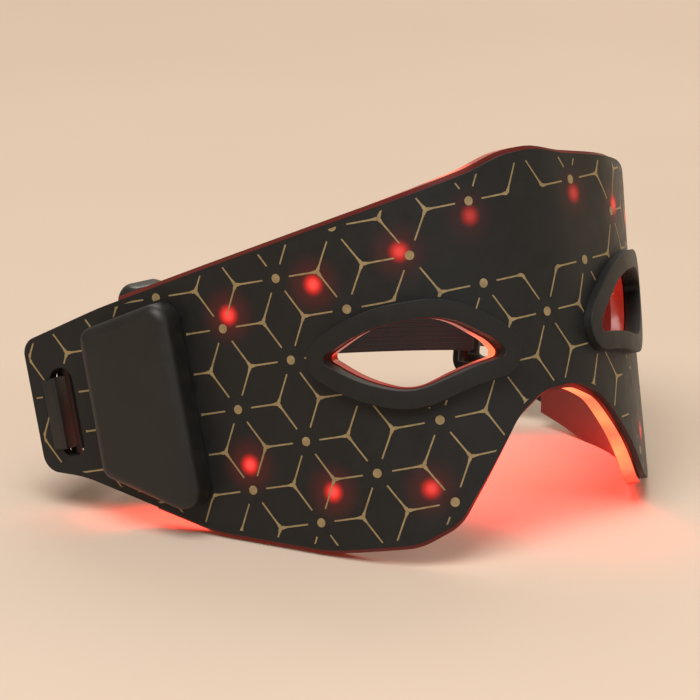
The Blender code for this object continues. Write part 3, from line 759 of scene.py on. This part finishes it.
def make_cover():
    holes = [grown(eye, COLLAR + GAP) for eye in EYES.values()] + SLOTS
    sheet = plate([OUTLINE] + holes, 0, TAB_BACK)
    recess = block((-TAB_START, -COVER_BACK, -90), (TAB_START, 1 - TAB_BACK, 40))
    sheet = rounded_edges(cut(sheet, recess), 0, EDGE_ROUNDING, 3)
    piece("cover_skin", wrapped(sheet), SKIN, ["outer_cover"])


def make_rims():
    """Raised rims: a rolled bead, hollowed where it meets the cover."""
    for side, eye in EYES.items():
        rim = plate([grown(eye, RIM_WIDTH), eye], RIM_HEIGHT, COVER_BACK)
        flange = plate([grown(eye, RIM_WIDTH + 1), grown(eye, COLLAR)], 0.05, COVER_BACK - 1)
        rim = rounded_edges(cut(rim, flange), RIM_HEIGHT, RIM_ROUNDING, 7)
        piece(f"eye_bead_{side}", wrapped(rim), RUBBER, [f"eye_rim_{side}"], sharp=55)


def make_liner():
    border = clipped(grown(OUTLINE, LINER_LIP), LINER_END)
    tray = plate([border] + [grown(eye, -EYE_LIP) for eye in EYES.values()], LINER_FRONT, LINER_BACK)
    pocket = clipped(grown(OUTLINE, -POCKET_MARGIN), LINER_END - POCKET_MARGIN)
    islands = [grown(eye, POCKET_MARGIN + 0.4) for eye in EYES.values()]
    tray = cut(tray, plate([pocket] + islands, LINER_FRONT + 1, LINER_POCKET))
    tray = rounded_edges(tray, LINER_BACK, 0.8, 3)
    piece("skin_side_liner", wrapped(mark_walls(tray)), CLEAR, ["inner_liner"],
          side_look=CLEAR_WALL)


# ---------------------------------------------------------------- gold print
def lattice():
    """Columns and rows of the print's lattice, in lattice units."""
    for column in range(-9, 10):
        for row in range(-5, 3):
            yield column, row + (0.5 if column % 2 else 0.0)


def star(column, row, side):
    """One star: three arms from a triangle's middle towards its three corners."""
    centre = Vector(((column + side * 2 / 3) * PRINT_COLUMN, row * PRINT_ROW))
    points = []
    for arm in range(3):
        heading = math.radians(120 * arm + (180 if side > 0 else 0))
        target = centre + Vector((math.cos(heading), math.sin(heading))) * PRINT_ROW / math.sqrt(3)
        turn = Matrix.Rotation(heading, 2)
        if target.length > 1:
            profile = [(r, -half) for r, half in ARM_PROFILE] + [(r, half) for r, half in ARM_PROFILE[::-1]]
            points += [centre + turn @ Vector(place) for place in profile]
        waist = Vector((math.cos(heading + math.pi / 3), math.sin(heading + math.pi / 3)))
        points.append(centre + waist * STAR_WAIST)
    return points


def print_shapes():
    """Dots and stars, left out where the forehead stays blank."""
    shapes = []
    for column, row in lattice():
        if (column, row) != (0, 0):
            shapes.append(disc(column * PRINT_COLUMN, row * PRINT_ROW, DOT_RADIUS))
        for side in (-1, 1):
            if row == 0 and abs(column + side * 2 / 3) < 1.5:
                continue
            shapes.append(star(column, row, side))
    return shapes


def make_print():
    """The print is a thin layer on the cover, cut back from edges, rims, slots and the box."""
    region = [grown(OUTLINE, -PRINT_MARGIN)]
    region += [grown(eye, RIM_WIDTH + 0.5) for eye in EYES.values()]
    region += [grown(slot, PRINT_MARGIN) for slot in SLOTS]
    region.append(box_outline(0.6))
    shapes = plate(print_shapes(), PRINT_HEIGHT, -PRINT_HEIGHT)
    inked = combined(shapes, [plate(region, 1, -1)], "INTERSECT")
    piece("gold_print", wrapped(inked), GOLD)


make_cover()
make_rims()
make_liner()
make_print()


# ---------------------------------------------------------------- control box
BOX_PLACE = place_on_sheet(BOX_S, BOX_V)


def lower_wall():
    start, end = (Vector(BOX_CORNERS[i][:2]) for i in (3, 2))
    along = (end - start).normalized()
    return along, Vector((-along.y, along.x))


def socket_window(margin, depths):
    """Rounded prism of the charging socket's mouth, between two depths behind the lower wall."""
    along, inwards = lower_wall()
    width, height = (size + 2 * margin for size in SOCKET_SIZE)
    prism = plate([pill(0, 0, width, height)], depths[1], depths[0])
    axes = Matrix(((-along.x, -inwards.x, 0), (0, 0, -1), (-along.y, -inwards.y, 0))).to_4x4()
    prism.transform(Matrix.Translation((SOCKET_PLACE[0], -SOCKET_W, SOCKET_PLACE[1])) @ axes)
    return prism


def button_hole(length, width, x_low, x_high):
    prism = plate([pill(0, 0, length, width)], x_high, x_low)
    axes = Matrix(((0, -1, 0), (0, 0, -1), (1, 0, 0))).to_4x4()
    prism.transform(Matrix.Translation((0, -BUTTON_W, BUTTON_Z)) @ axes)
    return prism


def make_case():
    outline = rounded(BOX_CORNERS)
    case = rounded_edges(plate([outline], BOX_FRONT, SEAL_TOP + GAP), BOX_FRONT, BOX_BEVEL, 10)
    case = cut(case, plate([grown(outline, -BOX_WALL)], BOX_FRONT - BOX_WALL, 0),
               socket_window(GAP, (-3.0, 4.0)),
               button_hole(BUTTON_SIZE[0] + 2 * GAP, BUTTON_SIZE[1] + 2 * GAP, -15.5, -10.0))
    piece("box_shell", placed(case, BOX_PLACE), CASE, ["box_case"], sharp=50)


make_case()


# ---------------------------------------------------------------- strap and its fittings
def make_hook(side, name):
    """Hook through a tab's slot, with a round bar for the webbing. Returns its frame."""
    frame = place_on_sheet(side * SLOT_S, SLOT_V)
    leg_half = SLOT_SIZE[1] / 2 - 2.2
    back = -TAB_BACK + GAP

    def bar(low, high):
        ends = sorted((low[0] * side, high[0] * side))
        return softened(block((ends[0], low[1], low[2]), (ends[1], high[1], high[2])), HOOK_SOFTNESS)

    crown = block((HOOK_CROWN[0], back, -HOOK_HALF_WIDTH), (HOOK_CROWN[1], -BAR_W, HOOK_HALF_WIDTH))
    crown.transform(Matrix.Scale(side, 4, (1, 0, 0)))
    if side < 0:
        crown.flip_normals()
    window_half = STRAP_WIDTH / 2 + 0.6
    window = block((-9, CROWN_WINDOW[0], -window_half), (9, CROWN_WINDOW[1], window_half))
    crown = softened(cut(crown, window), CROWN_SOFTNESS)
    leg = bar((HOOK_LEG[0], HOOK_LIP_FRONT, -leg_half), (HOOK_LEG[1], back + 1, leg_half))
    lip = bar((HOOK_LIP[0], HOOK_LIP_FRONT, 0.2 - leg_half), (HOOK_LIP[1], -GAP, leg_half - 0.2))
    pin_half = HOOK_HALF_WIDTH - 0.2
    pin = rod((side * HOOK_X, -BAR_W, -pin_half), (side * HOOK_X, -BAR_W, pin_half), BAR_RADIUS)
    hook = joined(crown, leg, lip, pin)
    piece(f"hook_{name}", placed(hook, frame), CASE, [f"strap_hook_{name}"])
    return frame


def make_slider():
    width, depth, height = SLIDER_SIZE
    outline = rounded([(i * width / 2, j * height / 2, SLIDER_CORNER)
                       for i, j in ((-1, -1), (1, -1), (1, 1), (-1, 1))])
    slider = rounded_edges(plate([outline], depth / 2, -depth / 2), depth / 2, 0.9, 6)
    slider = rounded_edges(slider, -depth / 2, 0.7, 5)
    channel = PLY_OFFSET + STRAP_THICKNESS / 2 + GAP
    high = STRAP_WIDTH / 2 + 1.2
    gap_edge = width / 2 - SLIDER_BAR
    slider = cut(slider, block((-width, -channel, -high), (width, channel, high)),
                 block((-gap_edge, -depth, -high), (gap_edge, 0, high)),
                 block((-gap_edge, 0, -high), (-SLIDER_BAR / 2, depth, high)),
                 block((SLIDER_BAR / 2, 0, -high), (gap_edge, depth, high)))
    made = placed(slider, Matrix.Translation(SLIDER_PLACE))
    piece("slide_adjuster", made, GLOSS, ["strap_slider"], "strap_slider")


def stretch(points, tilts, spreads):
    """Middle line as (point, sideways, across, spread); both plies are read from it."""
    places = []
    last = len(points) - 1
    for i, point in enumerate(points):
        ahead = points[min(i + 1, last)] - points[max(i - 1, 0)]
        part = i / last
        across = tilts[0].lerp(tilts[1], part).normalized()
        sideways = across.cross(ahead).normalized()
        places.append((point, sideways, across, spreads[0] + (spreads[1] - spreads[0]) * part))
    return places


def ply(places, side):
    return [(point + sideways * spread * side, across) for point, sideways, across, spread in places]


def loop(bar, sideways, onwards, across):
    turns = [math.pi * step / LOOP_STEPS for step in range(1, LOOP_STEPS)]
    return [(bar + (sideways * math.cos(turn) + onwards * math.sin(turn)) * LOOP_RADIUS, across)
            for turn in turns]


def strap_route(hooks):
    """Route of the webbing, from its free tail to its sewn end, as (point, across)."""
    bars, inwards, across = [], [], []
    for side, hook in zip((-1, 1), hooks):
        bars.append(hook @ Vector((side * HOOK_X, -BAR_W, 0)))
        inwards.append(hook.to_3x3() @ Vector((0, 1, 0)))
        across.append(hook.to_3x3() @ Vector((0, 0, 1)))
    upright = Vector((0, 0, 1))
    run = Vector((STRAIGHT_RUN, 0, 0))
    start, end = Vector(SLIDER_PLACE) - run, Vector(SLIDER_PLACE) + run
    from_right = interpolate_bezier(bars[0], bars[0] + inwards[0] * BEND_AT_RIGHT,
                                    start - run * 0.6, start, 46)
    to_left = interpolate_bezier(end, end + run * 1.4, bars[1] + inwards[1] * BEND_AT_LEFT,
                                 bars[1], 70)
    right = stretch(from_right, (across[0], upright), (LOOP_RADIUS, PLY_OFFSET))
    straight = [start.lerp(end, step / 8) for step in range(9)]
    middle = stretch(straight, (upright, upright), (PLY_OFFSET, PLY_OFFSET))
    left = stretch(to_left, (upright, across[1]), (PLY_OFFSET, LOOP_RADIUS))
    route = ply(middle[::-1], 1) + ply(right[-2::-1], 1)
    route += loop(bars[0], right[0][1], -inwards[0], across[0])
    route += ply(right, -1) + ply(middle[1:-1], -1) + ply(left, -1)
    route += loop(bars[1], -left[-1][1], -inwards[1], across[1])
    sewn = ply(left[:-3 * SEWN_POINTS + 2:-1], 1)
    return route + sewn, sewn


def webbing_section():
    """Half-round edges and shallow lengthwise ribs, as (across, outwards)."""
    half = STRAP_THICKNESS / 2
    flat = STRAP_WIDTH / 2 - half
    side = []
    for step in range(4 * RIBS + 1):
        place = -flat + 2 * flat * step / (4 * RIBS)
        groove = RIB_DEPTH * (0.5 - 0.5 * math.cos(math.tau * step / 4))
        side.append((place, half - groove))
    turns = [math.pi * step / 6 for step in range(1, 6)]
    nose = [(flat + half * math.sin(turn), half * math.cos(turn)) for turn in turns]
    top = side + nose
    return top + [(-a, -b) for a, b in top]


def make_strap(hooks):
    route, sewn = strap_route(hooks)
    section = webbing_section()
    points = [point for point, across in route]
    solid = bmesh.new()
    weave = solid.loops.layers.uv.new("weave")
    rings, travelled = [], [0.0]
    last = len(route) - 1
    for i, (point, across) in enumerate(route):
        ahead = (points[min(i + 1, last)] - points[max(i - 1, 0)]).normalized()
        outwards = ahead.cross(across).normalized()
        rings.append([solid.verts.new(point + across * a + outwards * b) for a, b in section])
        if i:
            travelled.append(travelled[-1] + (point - points[i - 1]).length)
    count = len(section)
    for i in range(last):
        for j in range(count):
            k = (j + 1) % count
            face = solid.faces.new((rings[i][j], rings[i][k], rings[i + 1][k], rings[i + 1][j]))
            for corner, (row, column) in zip(face.loops, ((i, j), (i, k), (i + 1, k), (i + 1, j))):
                corner[weave].uv = (travelled[row] / WEAVE_UNIT, section[column][0] / WEAVE_UNIT)
    solid.faces.new(rings[0][::-1])
    solid.faces.new(rings[-1])
    bmesh.ops.recalc_face_normals(solid, faces=solid.faces)
    mesh = bpy.data.meshes.new("webbing")
    solid.to_mesh(mesh)
    solid.free()
    strap = placed(mesh, Matrix())
    piece("strap_webbing", strap, WEBBING, ["head_strap"], sharp=60)
    make_stitches(sewn)


def make_stitches(sewn):
    """Box of stitches through the sewn end of the strap."""
    half = STRAP_WIDTH / 2 - STITCH_INSET
    near, far = len(sewn) - 9, len(sewn) - 2
    rows = [(i, a) for i in (near, far) for a in np.arange(-half, half + 0.1, STITCH_PITCH)]
    rows += [(i, a) for i in range(near + 1, far) for a in (-half, half)]
    solid = bmesh.new()
    for i, a in rows:
        point, across = sewn[i]
        ahead = (sewn[i + 1][0] - sewn[i - 1][0]).normalized()
        outwards = ahead.cross(across).normalized()
        along = across if i in (near, far) else ahead
        axes = Matrix((along, outwards, along.cross(outwards))).transposed().to_4x4()
        place = Matrix.Translation(point + across * a + outwards * STRAP_THICKNESS / 2) @ axes
        bmesh.ops.create_uvsphere(solid, u_segments=10, v_segments=6, radius=1,
                                  matrix=place @ Matrix.Diagonal((*STITCH_HALF_SIZE, 1)))
    mesh = bpy.data.meshes.new("stitches")
    solid.to_mesh(mesh)
    solid.free()
    piece("strap_stitches", placed(mesh, Matrix()), THREAD)


HOOKS = [make_hook(side, name) for side, name in ((-1, "right"), (1, "left"))]
make_slider()
make_strap(HOOKS)


# ---------------------------------------------------------------- CAD pieces that keep their shape
def finish_cad_pieces():
    """Give the CAD nodes left in place their looks, by the longest key that starts the name."""
    film = film_look()
    looks = {"led_": diode_look(), "led_flex_circuit": film, "flex_lead": film, "battery": FOIL,
             "control_board": board_look(), "usb_c_socket": STEEL, "case_screw": STEEL,
             "box_seal": RUBBER, "box_base_plate": CASE, "power_switch": CASE, "power_button": RUBBER}
    for name, node in frame["nodes"].items():
        fits = [start for start in looks if name.startswith(start)]
        if fits:
            node.data.materials.clear()
            node.data.materials.append(looks[max(fits, key=len)])


finish_cad_pieces()


# ---------------------------------------------------------------- stage, light and camera
def make_floor():
    solid = bmesh.new()
    bmesh.ops.create_grid(solid, x_segments=8, y_segments=8, size=FLOOR_HALF_SIZE)
    mesh = bpy.data.meshes.new("floor")
    solid.to_mesh(mesh)
    solid.free()
    floor = bpy.data.objects.new("floor", mesh)
    mesh.materials.append(floor_look())
    bpy.context.scene.collection.objects.link(floor)
    floor.location.z = -FLOOR_DROP


def make_lights():
    """World, area lamps, and a view transform that keeps the colours' contrast."""
    world = bpy.data.worlds.new("studio")
    bpy.context.scene.world = world
    world.use_nodes = True
    sky = world.node_tree.nodes["Background"]
    sky.inputs["Color"].default_value = WORLD_COLOUR
    sky.inputs["Strength"].default_value = WORLD_STRENGTH
    for name, place, target, power, colour, size, spread in LAMPS:
        data = bpy.data.lights.new(name, "AREA")
        data.energy = power
        data.color = colour
        data.size = size
        data.spread = math.radians(spread)
        made = bpy.data.objects.new(name, data)
        made.location = place
        made.rotation_euler = (Vector(target) - Vector(place)).to_track_quat("-Z", "Y").to_euler()
        bpy.context.scene.collection.objects.link(made)
    bpy.context.scene.view_settings.view_transform = "Standard"


def make_camera():
    brow = Vector((*ORIGIN_PLACE, ORIGIN_HEIGHT))
    data = bpy.data.cameras.new("camera")
    data.lens = CAMERA_LENS
    data.sensor_width = 36
    data.clip_start = 0.01
    camera = bpy.data.objects.new("camera", data)
    camera.location = (brow + Vector(CAMERA_FROM_BROW)) * MM
    camera.rotation_euler = Vector(CAMERA_AHEAD).to_track_quat("-Z", "Y").to_euler()
    bpy.context.scene.collection.objects.link(camera)
    bpy.context.scene.camera = camera


make_floor()
make_lights()
make_camera()
